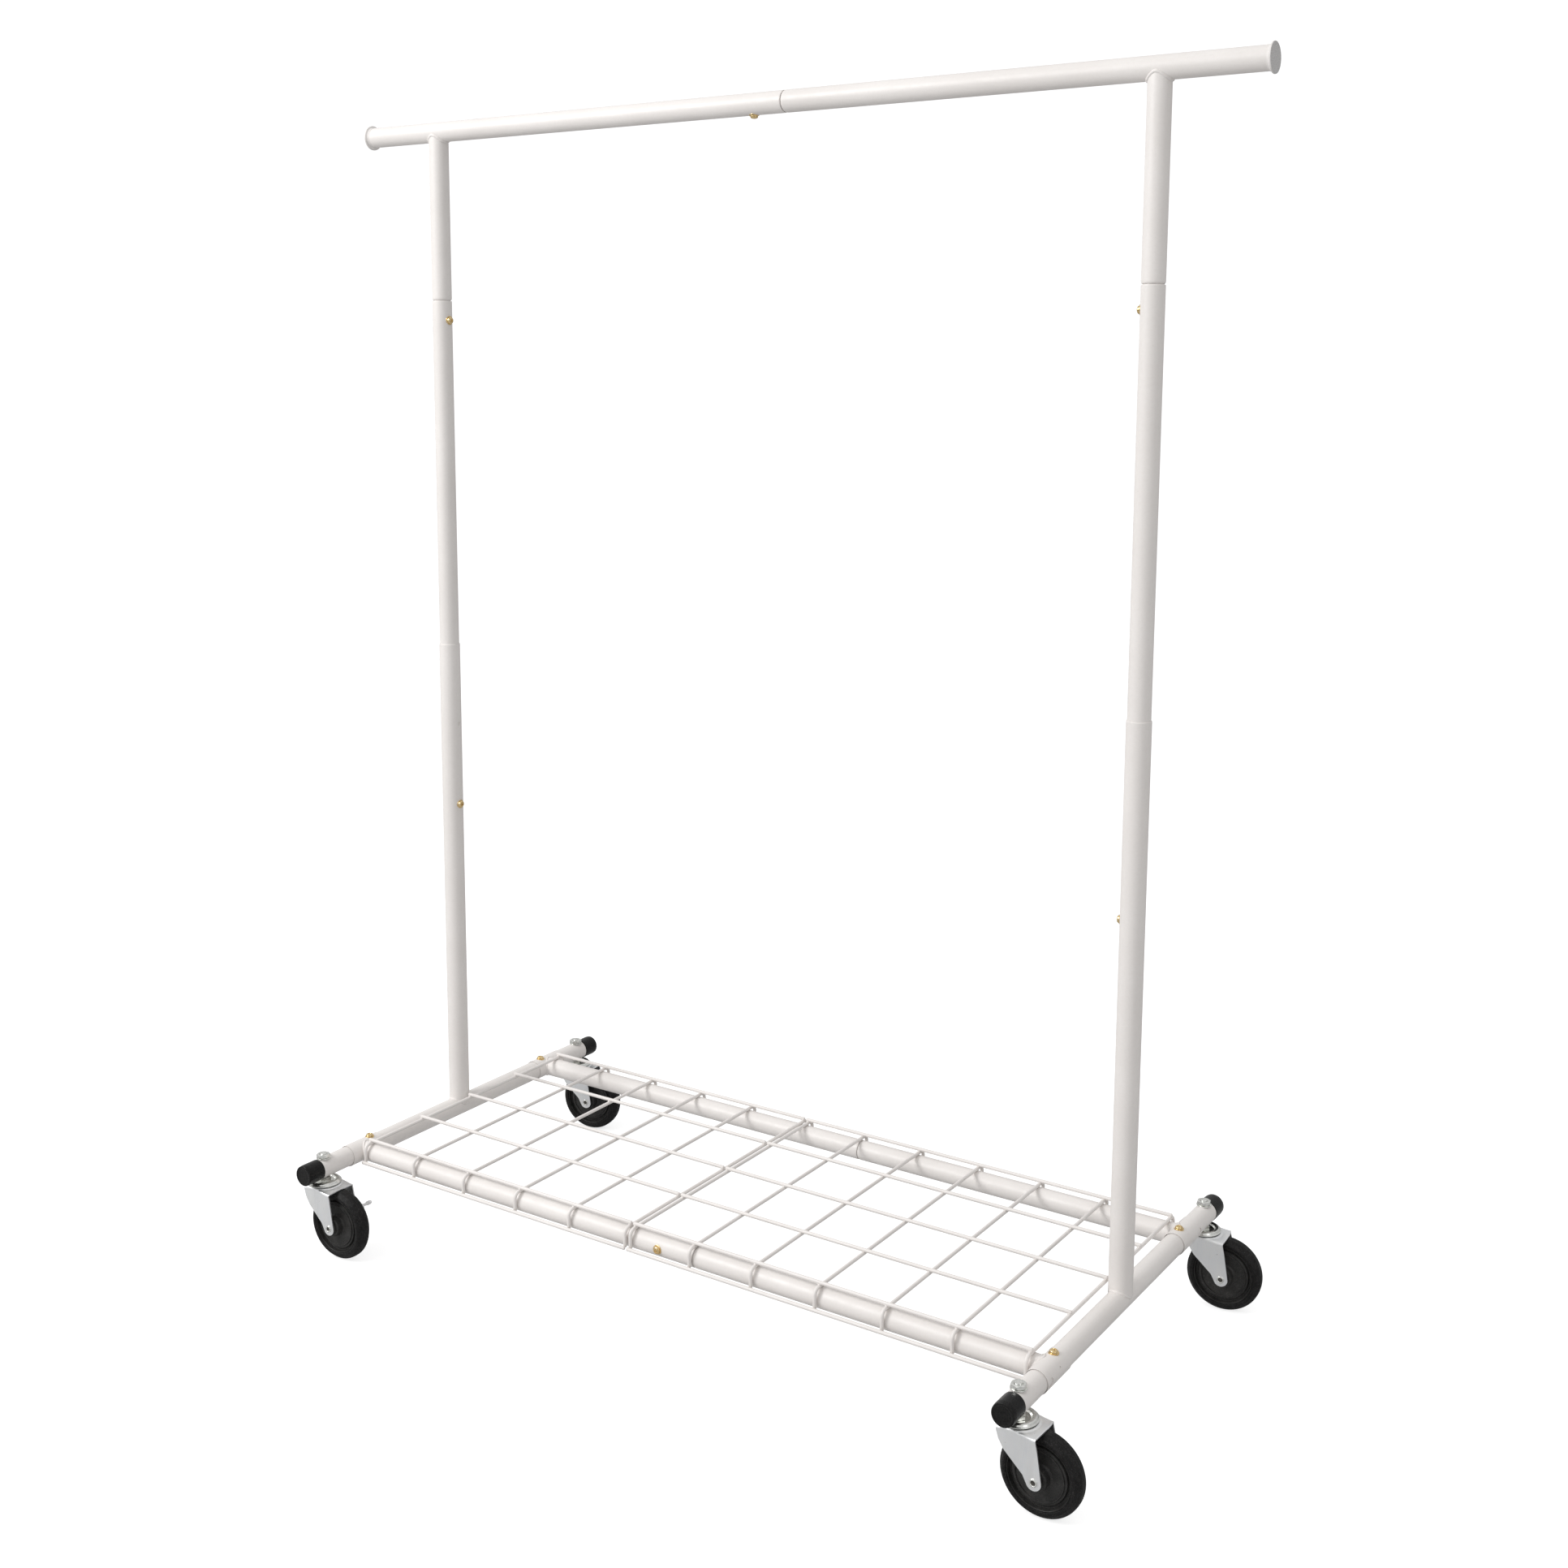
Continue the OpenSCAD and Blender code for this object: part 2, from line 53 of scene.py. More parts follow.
CORNERS = {
    "fl": "front_left",
    "fr": "front_right",
    "rl": "rear_left",
    "rr": "rear_right",
}


# ---------------------------------------------------------------- camera and light


def make_camera():
    """Three-quarter view from the front right, a little below the hanging bar."""
    data = bpy.data.cameras.new("camera")
    data.lens = 43.07
    data.sensor_width = 36
    data.shift_y = -0.085
    camera = bpy.data.objects.new("camera", data)
    bpy.context.scene.collection.objects.link(camera)
    stand = (1.4051, -2.0511, 1.2594)
    azimuth, pitch, roll = (math.radians(a) for a in (33.46, 8.44, 0.26))
    turn = Matrix.Rotation(azimuth, 4, "Z") @ Matrix.Rotation(math.pi / 2 - pitch, 4, "X")
    camera.matrix_world = Matrix.Translation(stand) @ turn @ Matrix.Rotation(roll, 4, "Z")
    bpy.context.scene.camera = camera


def area_light(name, place, target, size, power):
    """A white rectangular lamp that faces its target. size is its width and height in metres."""
    data = bpy.data.lights.new(name, "AREA")
    data.shape = "RECTANGLE"
    data.size, data.size_y = size
    data.energy = power
    lamp = bpy.data.objects.new(name, data)
    lamp.location = place
    lamp.rotation_mode = "QUATERNION"
    lamp.rotation_quaternion = (Vector(target) - Vector(place)).to_track_quat("-Z", "Y")
    bpy.context.scene.collection.objects.link(lamp)


def make_world():
    """Soft light that is brightest from the upper left. The camera itself sees plain white."""
    world = bpy.data.worlds.new("studio")
    bpy.context.scene.world = world
    world.use_nodes = True
    nodes, links = world.node_tree.nodes, world.node_tree.links
    nodes.clear()
    place = nodes.new("ShaderNodeTexCoord").outputs["Generated"]
    side = nodes.new("ShaderNodeVectorMath")
    side.operation = "DOT_PRODUCT"
    side.inputs[1].default_value = (-0.45, -0.35, 0.82)
    links.new(place, side.inputs[0])
    level = nodes.new("ShaderNodeMapRange")
    level.inputs["From Min"].default_value = -0.6
    level.inputs["To Min"].default_value = 0.42
    level.inputs["To Max"].default_value = 0.80
    links.new(side.outputs["Value"], level.inputs["Value"])
    fill = nodes.new("ShaderNodeBackground")
    links.new(level.outputs["Result"], fill.inputs["Strength"])
    seen = nodes.new("ShaderNodeBackground")
    seen.inputs["Strength"].default_value = 1.1
    for shader in (fill, seen):
        shader.inputs["Color"].default_value = (1, 1, 1, 1)
    mix = nodes.new("ShaderNodeMixShader")
    links.new(nodes.new("ShaderNodeLightPath").outputs["Is Camera Ray"], mix.inputs["Fac"])
    links.new(fill.outputs[0], mix.inputs[1])
    links.new(seen.outputs[0], mix.inputs[2])
    out = nodes.new("ShaderNodeOutputWorld")
    links.new(mix.outputs[0], out.inputs["Surface"])


def make_floor():
    """A pale floor that the camera sees almost without shadow, as on a lit table"""
    reach, steps = 40, 64
    edge = [(reach * math.cos(math.tau * i / steps), reach * math.sin(math.tau * i / steps), 0)
            for i in range(steps)]
    mesh = bpy.data.meshes.new("floor")
    mesh.from_pydata(edge, [], [tuple(range(steps))])
    floor = bpy.data.objects.new("floor", mesh)
    bpy.context.scene.collection.objects.link(floor)
    surface = bpy.data.materials.new("floor")
    surface.use_nodes = True
    nodes, links = surface.node_tree.nodes, surface.node_tree.links
    nodes.clear()
    matt = nodes.new("ShaderNodeBsdfDiffuse")
    matt.inputs["Color"].default_value = (0.52, 0.52, 0.52, 1)
    glow = nodes.new("ShaderNodeEmission")
    glow.inputs["Strength"].default_value = 0.72
    both = nodes.new("ShaderNodeAddShader")
    mix = nodes.new("ShaderNodeMixShader")
    out = nodes.new("ShaderNodeOutputMaterial")
    links.new(matt.outputs[0], both.inputs[0])
    links.new(glow.outputs[0], both.inputs[1])
    links.new(nodes.new("ShaderNodeLightPath").outputs["Is Camera Ray"], mix.inputs["Fac"])
    links.new(matt.outputs[0], mix.inputs[1])
    links.new(both.outputs[0], mix.inputs[2])
    links.new(mix.outputs[0], out.inputs["Surface"])
    mesh.materials.append(surface)


def make_studio():
    """A plain pale studio, lit softly from the front left"""
    make_world()
    make_floor()
    area_light("key", (-2.3, -3.0, 3.1), (0, 0, 0.8), (1.8, 1.8), 112)
    area_light("fill", (3.4, -1.2, 1.9), (0.2, 0, 0.6), (1.0, 2.4), 10)
    bpy.context.scene.view_settings.view_transform = "Standard"


make_camera()
make_studio()


# ---------------------------------------------------------------- materials


class Surface:
    """A node material whose patterns are laid out in the object's own metres."""

    # The Mix node's colour sockets, which share their names with its number sockets
    MIX_FAC, MIX_FIRST, MIX_SECOND, MIX_OUT = 0, 6, 7, 2

    def __init__(self, name, metallic=0.0, ior=1.5, coat=0.0, coat_roughness=0.1):
        self.material = bpy.data.materials.new(name)
        self.material.use_nodes = True
        self.nodes = self.material.node_tree.nodes
        self.links = self.material.node_tree.links
        self.shader = self.nodes["Principled BSDF"]
        self.shader.inputs["Metallic"].default_value = metallic
        self.shader.inputs["IOR"].default_value = ior
        self.shader.inputs["Coat Weight"].default_value = coat
        self.shader.inputs["Coat Roughness"].default_value = coat_roughness
        self.place = self.nodes.new("ShaderNodeTexCoord").outputs["Object"]
        self.normal = None

    def stretched(self, scale):
        """The object's own coordinates, drawn out along the axes whose scale is small"""
        mapping = self.nodes.new("ShaderNodeMapping")
        mapping.inputs["Scale"].default_value = scale
        self.links.new(self.place, mapping.inputs["Vector"])
        return mapping.outputs["Vector"]

    def noise(self, scale, detail=3.0, rough=0.5, stretch=None):
        node = self.nodes.new("ShaderNodeTexNoise")
        node.inputs["Scale"].default_value = scale
        node.inputs["Detail"].default_value = detail
        node.inputs["Roughness"].default_value = rough
        source = self.stretched(stretch) if stretch else self.place
        self.links.new(source, node.inputs["Vector"])
        return node.outputs["Fac"]

    def ramp(self, fac, *stops):
        """A colour for each (position, colour) stop"""
        node = self.nodes.new("ShaderNodeValToRGB")
        points = node.color_ramp.elements
        while len(points) < len(stops):
            points.new(0.5)
        for point, (where, colour) in zip(points, stops):
            point.position = where
            point.color = (*colour, 1)
        self.links.new(fac, node.inputs["Fac"])
        return node.outputs["Color"]

    def spread(self, fac, low, high, start=0.3, end=0.7):
        """Turns the values of fac from start to end into low to high"""
        node = self.nodes.new("ShaderNodeMapRange")
        node.inputs["From Min"].default_value = start
        node.inputs["From Max"].default_value = end
        node.inputs["To Min"].default_value = low
        node.inputs["To Max"].default_value = high
        self.links.new(fac, node.inputs["Value"])
        return node.outputs["Result"]

    def mixed(self, fac, first, second):
        """first where fac is 0 and second where it is 1: each is a colour or a socket"""
        node = self.nodes.new("ShaderNodeMix")
        node.data_type = "RGBA"
        self.links.new(fac, node.inputs[self.MIX_FAC])
        for socket, value in ((self.MIX_FIRST, first), (self.MIX_SECOND, second)):
            if hasattr(value, "is_linked"):
                self.links.new(value, node.inputs[socket])
            else:
                node.inputs[socket].default_value = (*value, 1)
        return node.outputs[self.MIX_OUT]

    def colour(self, socket):
        self.links.new(socket, self.shader.inputs["Base Color"])

    def roughness(self, socket):
        self.links.new(socket, self.shader.inputs["Roughness"])

    def bump(self, height, depth):
        """Adds bumps of the given depth in metres on top of the bumps there already"""
        node = self.nodes.new("ShaderNodeBump")
        node.inputs["Distance"].default_value = depth
        self.links.new(height, node.inputs["Height"])
        if self.normal:
            self.links.new(self.normal, node.inputs["Normal"])
        self.normal = node.outputs["Normal"]
        self.links.new(self.normal, self.shader.inputs["Normal"])


def powder_coat():
    """Off-white powder coat: faint blotches, tiny pits of dirt and a fine orange peel"""
    s = Surface("white_powder_coat", coat=0.10, coat_roughness=0.32)
    tone = s.ramp(s.noise(9, 4), (0.3, (0.79, 0.752, 0.725)), (0.7, (0.84, 0.805, 0.78)))
    grey = s.spread(s.noise(260, 5, 0.7), 0, 0.22, 0.45, 0.75)
    tone = s.mixed(grey, tone, (0.70, 0.66, 0.63))
    pits = s.spread(s.noise(430, 2), 0, 0.6, 0.75, 0.80)
    s.colour(s.mixed(pits, tone, (0.60, 0.56, 0.52)))
    s.roughness(s.spread(s.noise(60, 4), 0.38, 0.54))
    s.bump(s.noise(700, 3), 0.00006)
    s.bump(s.noise(2600, 2), 0.00002)
    return s.material


def zinc_sheet():
    """Bright zinc on pressed sheet: a cool cast, drawing marks down the sheet, a few stains"""
    s = Surface("zinc_sheet", metallic=1.0)
    tone = s.ramp(s.noise(46, 5, 0.6, (1, 1, 0.45)),
                  (0.3, (0.92, 0.935, 0.955)), (0.7, (0.975, 0.975, 0.965)))
    streaks = s.spread(s.noise(300, 4, 0.65, (1, 1, 0.12)), 0, 0.35, 0.5, 0.75)
    tone = s.mixed(streaks, tone, (0.80, 0.82, 0.84))
    stains = s.spread(s.noise(170, 4, 0.6), 0, 0.7, 0.69, 0.74)
    s.colour(s.mixed(stains, tone, (0.46, 0.45, 0.40)))
    s.roughness(s.spread(s.noise(90, 5, 0.6, (1, 1, 0.3)), 0.34, 0.50))
    s.bump(s.noise(400, 4, 0.6, (1, 1, 0.25)), 0.00003)
    s.bump(s.noise(1700, 3), 0.00003)
    return s.material


def zinc_turned():
    """Bright zinc on nuts, washers, races and rivets"""
    s = Surface("zinc_turned", metallic=1.0)
    tone = s.ramp(s.noise(260, 4), (0.3, (0.72, 0.73, 0.70)), (0.7, (0.90, 0.90, 0.87)))
    stains = s.spread(s.noise(420, 3, 0.6), 0, 0.7, 0.68, 0.76)
    s.colour(s.mixed(stains, tone, (0.40, 0.41, 0.36)))
    s.roughness(s.spread(s.noise(420, 4), 0.13, 0.30))
    s.bump(s.noise(120, 2, 0.5, (1, 1, 12)), 0.00004)
    return s.material


def oily_steel():
    """Painted shade inside the rivets: a dark metal in place of the shade that fills their deep
    hollows
    """
    s = Surface("oily_steel", metallic=1.0)
    s.colour(s.ramp(s.noise(500, 4, 0.6),
                    (0.35, (0.06, 0.057, 0.052)), (0.75, (0.22, 0.21, 0.19))))
    s.roughness(s.spread(s.noise(400, 3), 0.25, 0.50))
    s.bump(s.noise(900, 3), 0.00004)
    return s.material


def yellow_zinc():
    """Yellow passivated zinc, from brown to straw, on the small screws"""
    s = Surface("yellow_zinc", metallic=1.0)
    s.colour(s.ramp(s.noise(300, 4, 0.6), (0.25, (0.55, 0.35, 0.13)), (0.5, (0.80, 0.60, 0.30)),
                    (0.75, (0.88, 0.74, 0.50))))
    s.roughness(s.spread(s.noise(500, 3), 0.16, 0.32))
    s.bump(s.noise(900, 3), 0.00004)
    return s.material


def cap_rubber():
    """Soft black vinyl: grained on its end and shiny where hands rub it"""
    s = Surface("cap_rubber", ior=1.28)
    s.colour(s.ramp(s.noise(500, 4, 0.65),
                    (0.35, (0.004, 0.004, 0.004)), (0.72, (0.016, 0.0155, 0.015))))
    s.roughness(s.spread(s.noise(200, 4), 0.16, 0.30))
    s.bump(s.noise(1300, 3), 0.00008)
    return s.material


def tyre_rubber():
    """Hard black tread with pale specks of dust"""
    s = Surface("tyre_rubber", ior=1.28)
    base = s.ramp(s.noise(140, 6, 0.7), (0.35, (0.002, 0.002, 0.002)), (0.8, (0.016, 0.015, 0.015)))
    specks = s.spread(s.noise(900, 4, 0.75), 0, 0.85, 0.54, 0.74)
    s.colour(s.mixed(specks, base, (0.085, 0.082, 0.08)))
    s.roughness(s.spread(s.noise(240, 5, 0.6), 0.34, 0.62))
    s.bump(s.noise(700, 5, 0.7), 0.0004)
    return s.material


def core_plastic():
    """Black moulded wheel centre, a little brown where dust lies on it"""
    s = Surface("core_plastic", ior=1.34)
    base = s.ramp(s.noise(70, 6, 0.7), (0.35, (0.014, 0.014, 0.0135)), (0.8, (0.046, 0.044, 0.042)))
    specks = s.spread(s.noise(1000, 4, 0.7), 0, 0.8, 0.53, 0.74)
    s.colour(s.mixed(specks, base, (0.12, 0.115, 0.11)))
    s.roughness(s.spread(s.noise(260, 5, 0.6), 0.24, 0.48))
    s.bump(s.noise(600, 5, 0.7), 0.0003)
    return s.material


def cap_plastic():
    """Moulded plug in the paint's colour, its end face painted a darker, speckled grey as shade"""
    s = Surface("cap_plastic")
    face_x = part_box("rail_end_caps")[1][0]
    split = s.nodes.new("ShaderNodeSeparateXYZ")
    s.links.new(s.place, split.inputs[0])
    outward = s.nodes.new("ShaderNodeMath")
    outward.operation = "ABSOLUTE"
    s.links.new(split.outputs["X"], outward.inputs[0])
    behind, fade = 0.0006, 0.00025  # where the face's painted shade starts, and how fast it comes in
    face = s.spread(outward.outputs[0], 0, 1, face_x - behind, face_x - behind + fade)
    neck = s.ramp(s.noise(260, 5, 0.7), (0.3, (0.76, 0.73, 0.71)), (0.7, (0.83, 0.80, 0.78)))
    # painted shade on the end face: a darker speckled grey in place of the shade it stands in
    painted_shade_disc = s.ramp(s.noise(700, 4, 0.7), (0.35, (0.43, 0.42, 0.415)), (0.65, (0.66, 0.65, 0.64)))
    s.colour(s.mixed(face, neck, painted_shade_disc))
    s.roughness(s.spread(s.noise(150, 4), 0.40, 0.60))
    s.bump(s.noise(1100, 4, 0.7), 0.00012)
    return s.material


PAINT = powder_coat()
SHEET = zinc_sheet()
TURNED = zinc_turned()
# painted shade for the faces inside the rivets' hollows
BORE = oily_steel()
BRASS = yellow_zinc()
RUBBER = cap_rubber()
TREAD = tyre_rubber()
CORE = core_plastic()
WHITE = cap_plastic()


# ---------------------------------------------------------------- mesh building


class Shape:
    """Vertices and faces that grow into one mesh"""

    def __init__(self):
        self.verts = []
        self.faces = []

    def add(self, part, matrix=Matrix()):
        verts, faces = part
        first = len(self.verts)
        self.verts += [matrix @ Vector(v) for v in verts]
        self.faces += [tuple(first + i for i in face) for face in faces]
        return self


def fillet(points, closed=True, steps=5):
    """A polygon of (x, y, corner radius) with its corners rounded off"""
    out = []
    for i, (x, y, radius) in enumerate(points):
        if radius == 0 or (not closed and i in (0, len(points) - 1)):
            out.append((x, y))
            continue
        corner = Vector((x, y))
        back = Vector(points[i - 1][:2]) - corner
        on = Vector(points[(i + 1) % len(points)][:2]) - corner
        reach = min(radius / math.tan(back.angle(on) / 2), 0.49 * back.length, 0.49 * on.length)
        start = corner + back.normalized() * reach
        end = corner + on.normalized() * reach
        for k in range(steps + 1):
            t = k / steps
            p = start * (1 - t) ** 2 + corner * 2 * t * (1 - t) + end * t**2
            out.append((p.x, p.y))
    return out


def ring(radius, z, steps):
    """A level circle of points, whose last point lies on its first"""
    return [
        (radius * math.cos(math.tau * k / steps), radius * math.sin(math.tau * k / steps), z)
        for k in range(steps + 1)
    ]


def lathe(profile, steps=96, closed=True):
    """A profile of (radius, height) turned about z"""
    count = len(profile)
    verts = [
        (r * math.cos(math.tau * i / steps), r * math.sin(math.tau * i / steps), h)
        for i in range(steps)
        for r, h in profile
    ]
    faces = []
    for i in range(steps):
        a, b = i * count, (i + 1) % steps * count
        for k in range(count if closed else count - 1):
            above = (k + 1) % count
            faces.append((a + k, b + k, b + above, a + above))
    return verts, faces


def sweep(path, radius, sides=16, closed=False):
    """A round bar along a path. radius is a number, or one per point of a closed path."""
    path = [Vector(p) for p in path]
    count = len(path)
    radii = radius if isinstance(radius, list) else [radius] * count
    if not closed:
        path, radii = dome_ends(path, radii)
        count = len(path)
    verts, faces = [], []
    side = None
    for i, point in enumerate(path):
        before = path[i - 1] if closed or i else path[0]
        after = path[(i + 1) % count] if closed or i < count - 1 else path[-1]
        along = (after - before).normalized()
        if side is None:
            side = along.orthogonal().normalized()
        side = (side - along * side.dot(along)).normalized()
        up = along.cross(side)
        for k in range(sides):
            angle = math.tau * k / sides
            verts.append(point + (side * math.cos(angle) + up * math.sin(angle)) * radii[i])
    for i in range(count if closed else count - 1):
        j = (i + 1) % count
        shift = best_shift(verts, i * sides, j * sides, sides) if closed and j == 0 else 0
        for k in range(sides):
            beside = (k + 1) % sides
            faces.append((i * sides + k, i * sides + beside,
                          j * sides + (beside + shift) % sides, j * sides + (k + shift) % sides))
    if not closed:
        faces.append(tuple(range(sides))[::-1])
        faces.append(tuple(range((count - 1) * sides, count * sides)))
    return verts, faces


def dome_ends(path, radii, steps=3):
    """Extra points that round off the two ends of a bar"""
    head = (path[1] - path[0]).normalized()
    tail = (path[-1] - path[-2]).normalized()
    almost = 0.93  # of a quarter turn, so that the outermost ring keeps some width
    depth, inner = 0.6, 0.62  # in radii: the dome's depth, and where the plain bar starts
    angles = [math.pi / 2 * k / steps * almost for k in range(steps, 0, -1)]
    first = [path[0] + head * radii[0] * (1 - math.sin(a)) * depth for a in angles]
    last = [path[-1] - tail * radii[-1] * (1 - math.sin(a)) * depth for a in reversed(angles)]
    start_r = [radii[0] * math.cos(a) for a in angles]
    end_r = [radii[-1] * math.cos(a) for a in reversed(angles)]
    middle = [path[0] + head * radii[0] * inner, *path[1:-1], path[-1] - tail * radii[-1] * inner]
    return first + middle + last, start_r + radii[: len(middle)] + end_r


def best_shift(verts, first, second, sides):
    """The turn that joins the last ring of a closed bar to its first with the least twist"""
    spans = [
        sum((verts[first + k] - verts[second + (k + s) % sides]).length for k in range(sides))
        for s in range(sides)
    ]
    return spans.index(min(spans))


def grid(rows):
    """Faces over a list of equally long rows of points"""
    width = len(rows[0])
    verts = [p for row in rows for p in row]
    faces = [
        (i * width + k, i * width + k + 1, (i + 1) * width + k + 1, (i + 1) * width + k)
        for i in range(len(rows) - 1)
        for k in range(width - 1)
    ]
    return verts, faces


def make_piece(name, shape, body, material, nodes, crease=38):
    """Turns a shape into a Blender object that rides on a CAD body and stands for CAD nodes.
    Edges that bend by crease degrees or more stay sharp."""
    mesh = bpy.data.meshes.new(name)
    mesh.from_pydata([tuple(v) for v in shape.verts], [], shape.faces)
    bm = bmesh.new()
    bm.from_mesh(mesh)
    bmesh.ops.remove_doubles(bm, verts=bm.verts, dist=2e-6)
    bmesh.ops.dissolve_degenerate(bm, edges=bm.edges, dist=1e-6)
    bmesh.ops.recalc_face_normals(bm, faces=bm.faces)
    for face in bm.faces:
        face.smooth = True
    for edge in bm.edges:
        if len(edge.link_faces) == 2:
            edge.smooth = edge.calc_face_angle() < math.radians(crease)
    bm.to_mesh(mesh)
    bm.free()
    mesh.materials.append(material)
    piece = bpy.data.objects.new(name, mesh)
    bpy.context.scene.collection.objects.link(piece)
    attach(piece, body)
    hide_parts(*nodes)
    return piece


def box_of(node):
    """The lowest and the highest corner of a CAD node"""
    low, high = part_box(node)
    return Vector(low), Vector(high)


def centre_of(node):
    low, high = box_of(node)
    return (low + high) / 2


def size_of(node):
    low, high = box_of(node)
    return high - low


# Places that the CAD frame gives
POST_X = centre_of("lower_post_right").x
TUBE_Z = centre_of("side_tube_left").z
TUBE_R = size_of("side_tube_left").z / 2
SLEEVE_R = size_of("sleeve_front_left").z / 2
RAIL_Y = -centre_of("front_rail_left").y
BAR_Z = centre_of("top_rail_left").z


# ---------------------------------------------------------------- CAD nodes that stay


def repaint():
    """The CAD nodes that keep their shape get their material here"""
    kept = {
        PAINT: [
            "side_tube_left", "side_tube_right", "lower_post_left", "lower_post_right",
            "front_rail_left", "front_rail_right", "rear_rail_left", "rear_rail_right",
            "sleeve_front_left", "sleeve_front_right", "sleeve_rear_left", "sleeve_rear_right",
            "top_rail_left", "top_rail_right", "upper_post_left", "upper_post_right",
            "middle_post_left", "middle_post_right",
        ],
        TURNED: [f"bush_{c}" for c in CORNERS],
    }
    for material, names in kept.items():
        for name in names:
            node = frame["nodes"][name]
            node.data.materials.clear()
            node.data.materials.append(material)


# ---------------------------------------------------------------- welds


def saddle_path(big, small, steps=96):
    """Where a tube of radius small, coming from below, meets a tube of radius big along x.
    The path stays a little below the big tube's widest line, so that its arch is rounded."""
    inward = min(1, 0.93 * big / small)
    path = []
    for i in range(steps):
        a = math.tau * i / steps
        x, y = small * math.cos(a), small * inward * math.sin(a)
        path.append((x, y, -math.sqrt(big**2 - y**2)))
    return path


def weld_bead(big, small, bead, seed):
    """A painted weld: a round bead with the slow ripple of a hand-run seam"""
    rng = random.Random(seed)
    path = saddle_path(big, small)
    phase = rng.uniform(0, math.tau)
    radii = [
        bead * (1 + 0.035 * math.sin(17 * math.tau * i / len(path) + phase)
                + 0.03 * math.sin(5 * math.tau * i / len(path) + 2 * phase))
        for i in range(len(path))
    ]
    return sweep(path, radii, sides=14, closed=True)


def make_welds():
    """The beads under the posts, under the bar and where the long rails meet the sleeves"""
    foot_bead, tee_bead, sleeve_bead = 0.0021, 0.0022, 0.0016
    along_y = Matrix.Rotation(math.pi / 2, 4, "Z")
    feet, sleeves, tees = Shape(), Shape(), Shape()
    for side in (-1, 1):
        foot = Matrix.Translation((side * POST_X, 0, TUBE_Z)) @ along_y
        feet.add(weld_bead(TUBE_R, SLEEVE_R - 0.0004, foot_bead, 3 + side),
                 foot @ Matrix.Rotation(math.pi, 4, "X"))
        tees.add(weld_bead(TUBE_R, TUBE_R, tee_bead, 7 + side),
                 Matrix.Translation((side * POST_X, 0, BAR_Z)))
        for end in (-1, 1):
            place = Matrix.Translation((side * POST_X, end * RAIL_Y, TUBE_Z))
            turn = Matrix.Rotation(side * math.pi / 2, 4, "Y") @ along_y
            sleeves.add(weld_bead(SLEEVE_R, TUBE_R, sleeve_bead, 11 + 2 * side + end), place @ turn)
    make_piece("weld_post_feet", feet, "base", PAINT, ["post_foot_welds"])
    make_piece("weld_sleeves", sleeves, "base", PAINT, ["sleeve_welds"])
    make_piece("weld_bar", tees, "hanging_frame", PAINT, ["rail_tee_welds"])


# ---------------------------------------------------------------- wire shelf


def make_shelf():
    """Two panels of welded wire, whose cross wires are bent down over the long rails"""
    wire = 0.0025  # radius
    pitch_y = 0.105
    lanes = range(-2, 3)
    overhang = 0.0032
    bend = 0.008
    for side, count in (("left", 6), ("right", 7)):
        low, high = box_of("wire_shelf_" + side)
        first = low.x + overhang
        pitch_x = (high.x - low.x - 2 * overhang) / (count - 1)
        top_z = high.z - wire
        cross_z = top_z - 2 * wire + 0.0002
        leg_y = high.y - 3 * wire + 0.0005
        foot_z = low.z + wire - 0.0004
        edge_z = low.z + wire + 0.0005
        shape = Shape()
        for i in range(count):
            x = first + i * pitch_x
            half = [(x, 0, cross_z), (x, leg_y - bend, cross_z)]
            for k in range(1, 9):
                a = math.pi / 2 * k / 8
                half.append((x, leg_y - bend + bend * math.sin(a),
                             cross_z - bend + bend * math.cos(a)))
            half.append((x, leg_y, foot_z))
            mirrored = [(px, -py, pz) for px, py, pz in reversed(half[1:])]
            shape.add(sweep(mirrored + half, wire))
            for j in lanes:
                nugget = Matrix.Translation((x, j * pitch_y, cross_z + wire))
                shape.add(lathe(weld_nugget(wire), 12, closed=False), nugget)
        for j in lanes:
            shape.add(sweep(straight(low.x, high.x, j * pitch_y, top_z), wire))
        for end in (-1, 1):
            shape.add(sweep(straight(low.x, high.x, end * (high.y - wire), edge_z), wire))
        make_piece("shelf_" + side, shape, "base", PAINT, ["wire_shelf_" + side])


def straight(x0, x1, y, z, steps=12):
    """Points along x for a straight wire"""
    return [(x0 + (x1 - x0) * i / steps, y, z) for i in range(steps + 1)]


def weld_nugget(wire):
    """The squeezed metal between two crossing wires, as half a lens turned about z"""
    steps = 8
    wide, high = 1.12 * wire, 0.75 * wire
    return [
        (wide * math.sin(math.pi * k / steps), high * math.cos(math.pi * k / steps))
        for k in range(steps + 1)
    ]


# ---------------------------------------------------------------- caps


def make_tube_caps():
    """Rubber caps pushed over the four ends of the side tubes"""
    low, high = box_of("side_tube_caps")
    outer = (high.z - low.z) / 2
    length, face, lip = 0.0285, 0.003, 0.0004
    wall = TUBE_R + 0.00005
    section = fillet([
        (0, 0.0006, 0), (outer - 0.0040, 0.0006, 0.001), (outer - 0.0030, 0, 0.0008),
        (outer - 0.0006, 0, 0.0022), (outer, 0.006, 0.002), (outer - 0.0002, length - 0.002, 0.0004),
        (outer - lip, length, 0.0006), (wall, length, 0.0002), (wall, face, 0), (0, face, 0),
    ], closed=False)
    rubber = Shape()
    for side in (-1, 1):
        for end in (-1, 1):
            place = Matrix.Translation((side * POST_X, end * high.y, TUBE_Z))
            turn = Matrix.Rotation(end * math.pi / 2, 4, "X")
            rubber.add(lathe(section, closed=False), place @ turn)
    make_piece("caps_rubber", rubber, "base", RUBBER, ["side_tube_caps"])


